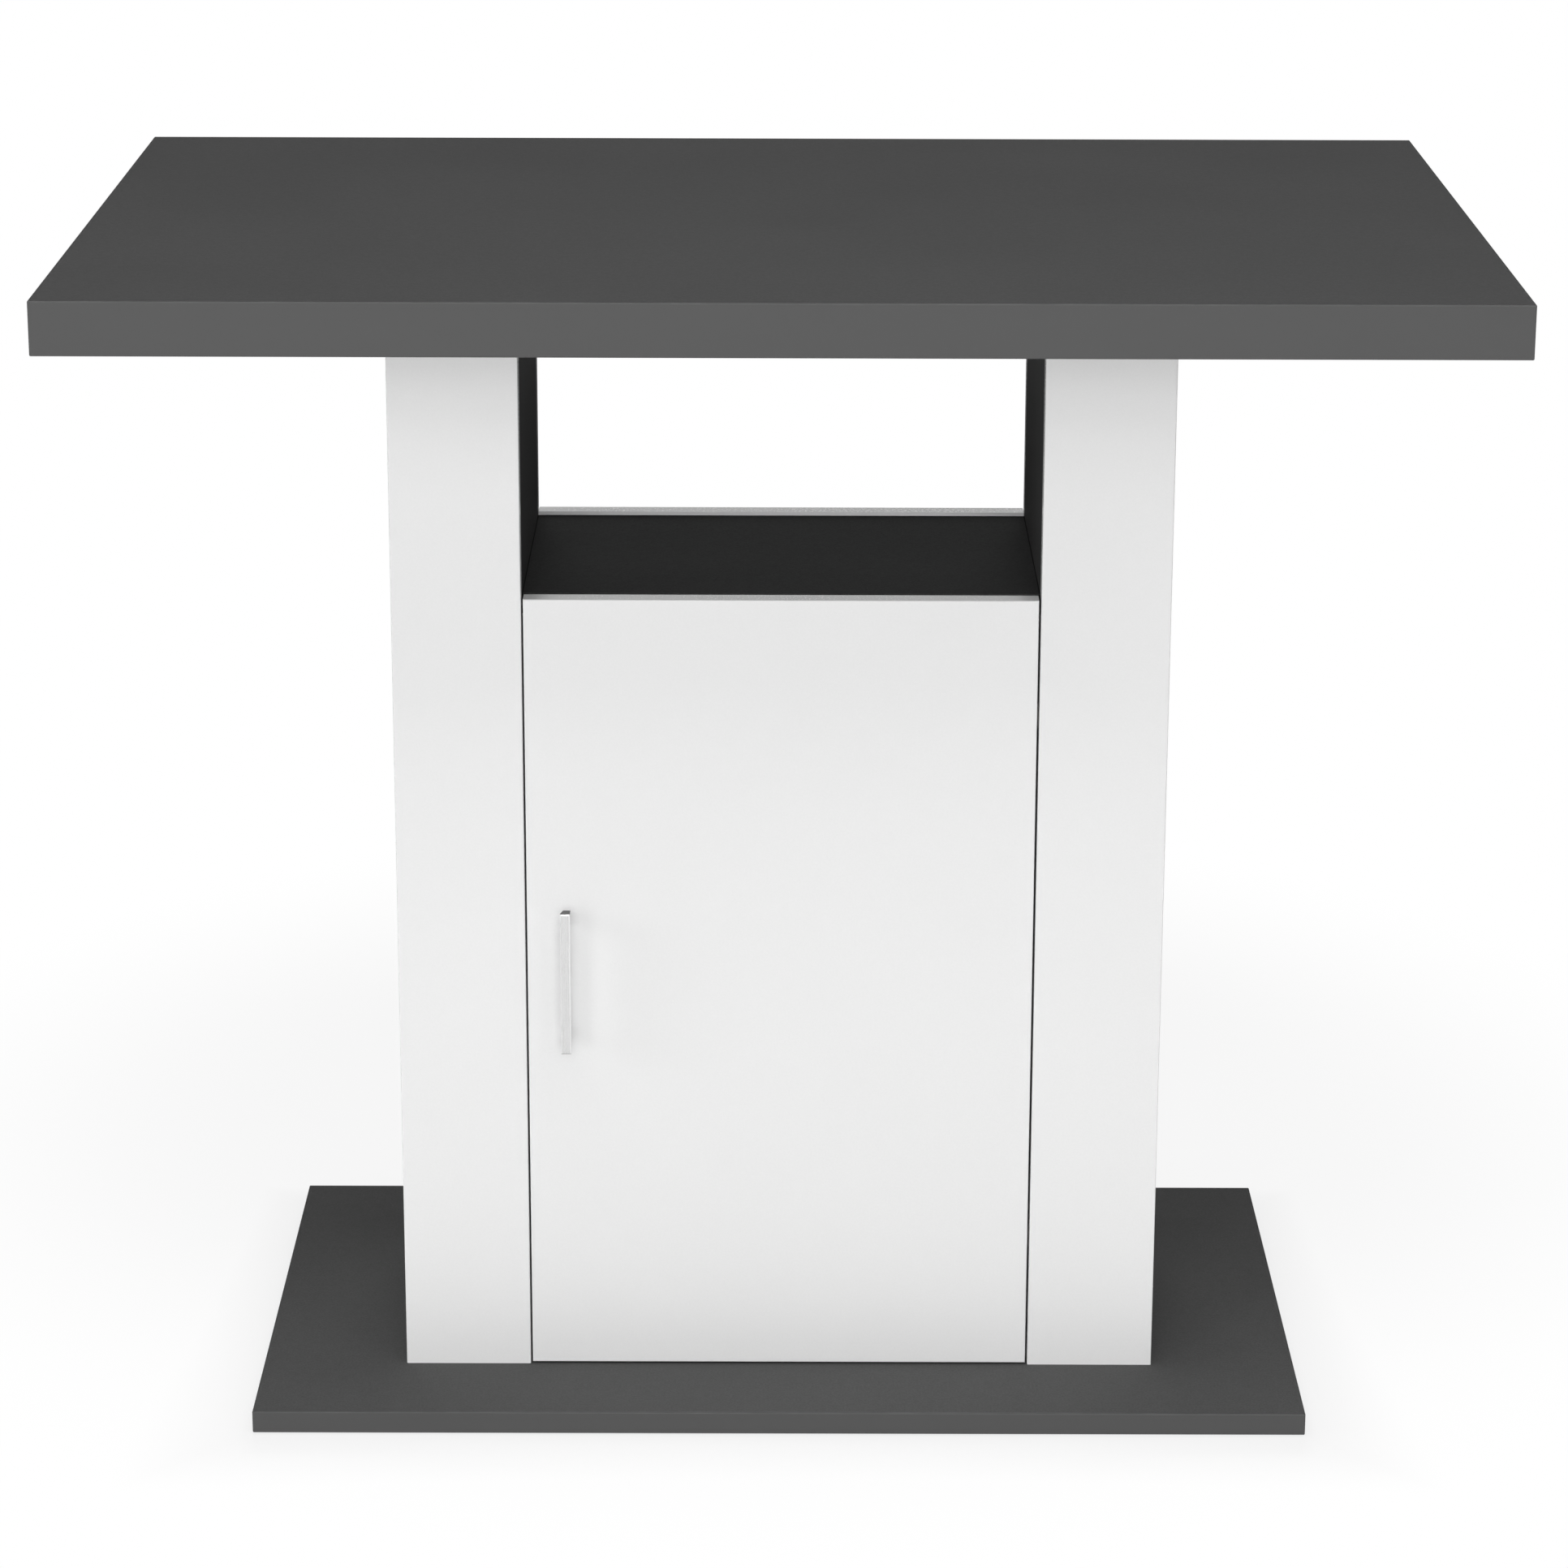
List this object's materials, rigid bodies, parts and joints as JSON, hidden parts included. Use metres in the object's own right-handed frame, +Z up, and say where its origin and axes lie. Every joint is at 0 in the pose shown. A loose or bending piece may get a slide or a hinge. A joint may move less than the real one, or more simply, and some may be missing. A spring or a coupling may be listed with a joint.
{
  "type": "kitchen island",
  "caption": "Kitchen island: a thick dark worktop on a white column with an open through niche above a cupboard with a hinged door, on a flat dark base board.",
  "frame": {"origin": "on the floor, under the middle of the worktop", "axes": "+Z up, +X right as seen from the door's side, +Y to the back, the door faces -Y"},
  "size_m": [1.07, 0.72, 0.93],
  "materials": {
    "anthracite_board": "matte melamine on chipboard",
    "anthracite_edge_band": "matte ABS edge band",
    "niche_board": "near-black matte melamine on chipboard",
    "white_board": "white satin melamine on chipboard",
    "raw_timber": "planed softwood",
    "beech_dowel": "turned beech",
    "zinc_steel": "zinc-plated steel",
    "nickel_steel": "nickel-plated steel",
    "handle_metal": "satin aluminium",
    "white_plastic": "moulded white plastic",
    "magnet": "sintered ferrite",
    "clear_rubber": "translucent silicone",
    "glide_plastic": "dark polyethylene"
  },
  "bodies": {
    "root": {"base_board": "anthracite_board", "base_edging": "anthracite_edge_band", "base_glides": "glide_plastic", "base_screws": "zinc_steel", "bottom_cleat_left": "raw_timber", "bottom_cleat_right": "raw_timber", "cabinet_shelf": "white_board", "cabinet_side_left": "white_board", "cabinet_side_right": "white_board", "cam_bolts": "zinc_steel", "cam_locks": "zinc_steel", "catch_housing": "white_plastic", "catch_magnet": "magnet", "catch_pole_plates": "zinc_steel", "catch_screws": "zinc_steel", "floor_dowels": "beech_dowel", "front_strip_left": "white_board", "front_strip_right": "white_board", "hinge_arm_screws": "nickel_steel", "hinge_plate_screws": "nickel_steel", "leg_dowels": "beech_dowel", "lower_hinge_arm": "nickel_steel", "lower_hinge_plate": "nickel_steel", "niche_floor": "niche_board", "niche_side_left": "niche_board", "niche_side_right": "niche_board", "outer_side_left": "white_board", "outer_side_right": "white_board", "rear_panel": "white_board", "rear_panel_screws": "zinc_steel", "rear_strip_left": "white_board", "rear_strip_right": "white_board", "shelf_pins": "zinc_steel", "top_cleat_left": "raw_timber", "top_cleat_right": "raw_timber", "upper_hinge_arm": "nickel_steel", "upper_hinge_plate": "nickel_steel", "worktop_board": "anthracite_board", "worktop_edging": "anthracite_edge_band", "worktop_screws": "zinc_steel"},
    "door_leaf": {"door": "white_board", "door_handle": "handle_metal", "handle_screws": "zinc_steel", "upper_hinge_cup": "nickel_steel", "lower_hinge_cup": "nickel_steel", "upper_hinge_pin": "nickel_steel", "lower_hinge_pin": "nickel_steel", "hinge_cup_screws": "nickel_steel", "strike_plate": "zinc_steel", "strike_screw": "zinc_steel", "door_bumpers": "clear_rubber"}
  },
  "joints": [
    {"name": "door_swing", "type": "hinge", "parent": "root", "child": "door_leaf", "pos_m": [0.1883, -0.1388, 0.3385], "axis": [0, 0, 1], "range_deg": [0, 95]}
  ]
}
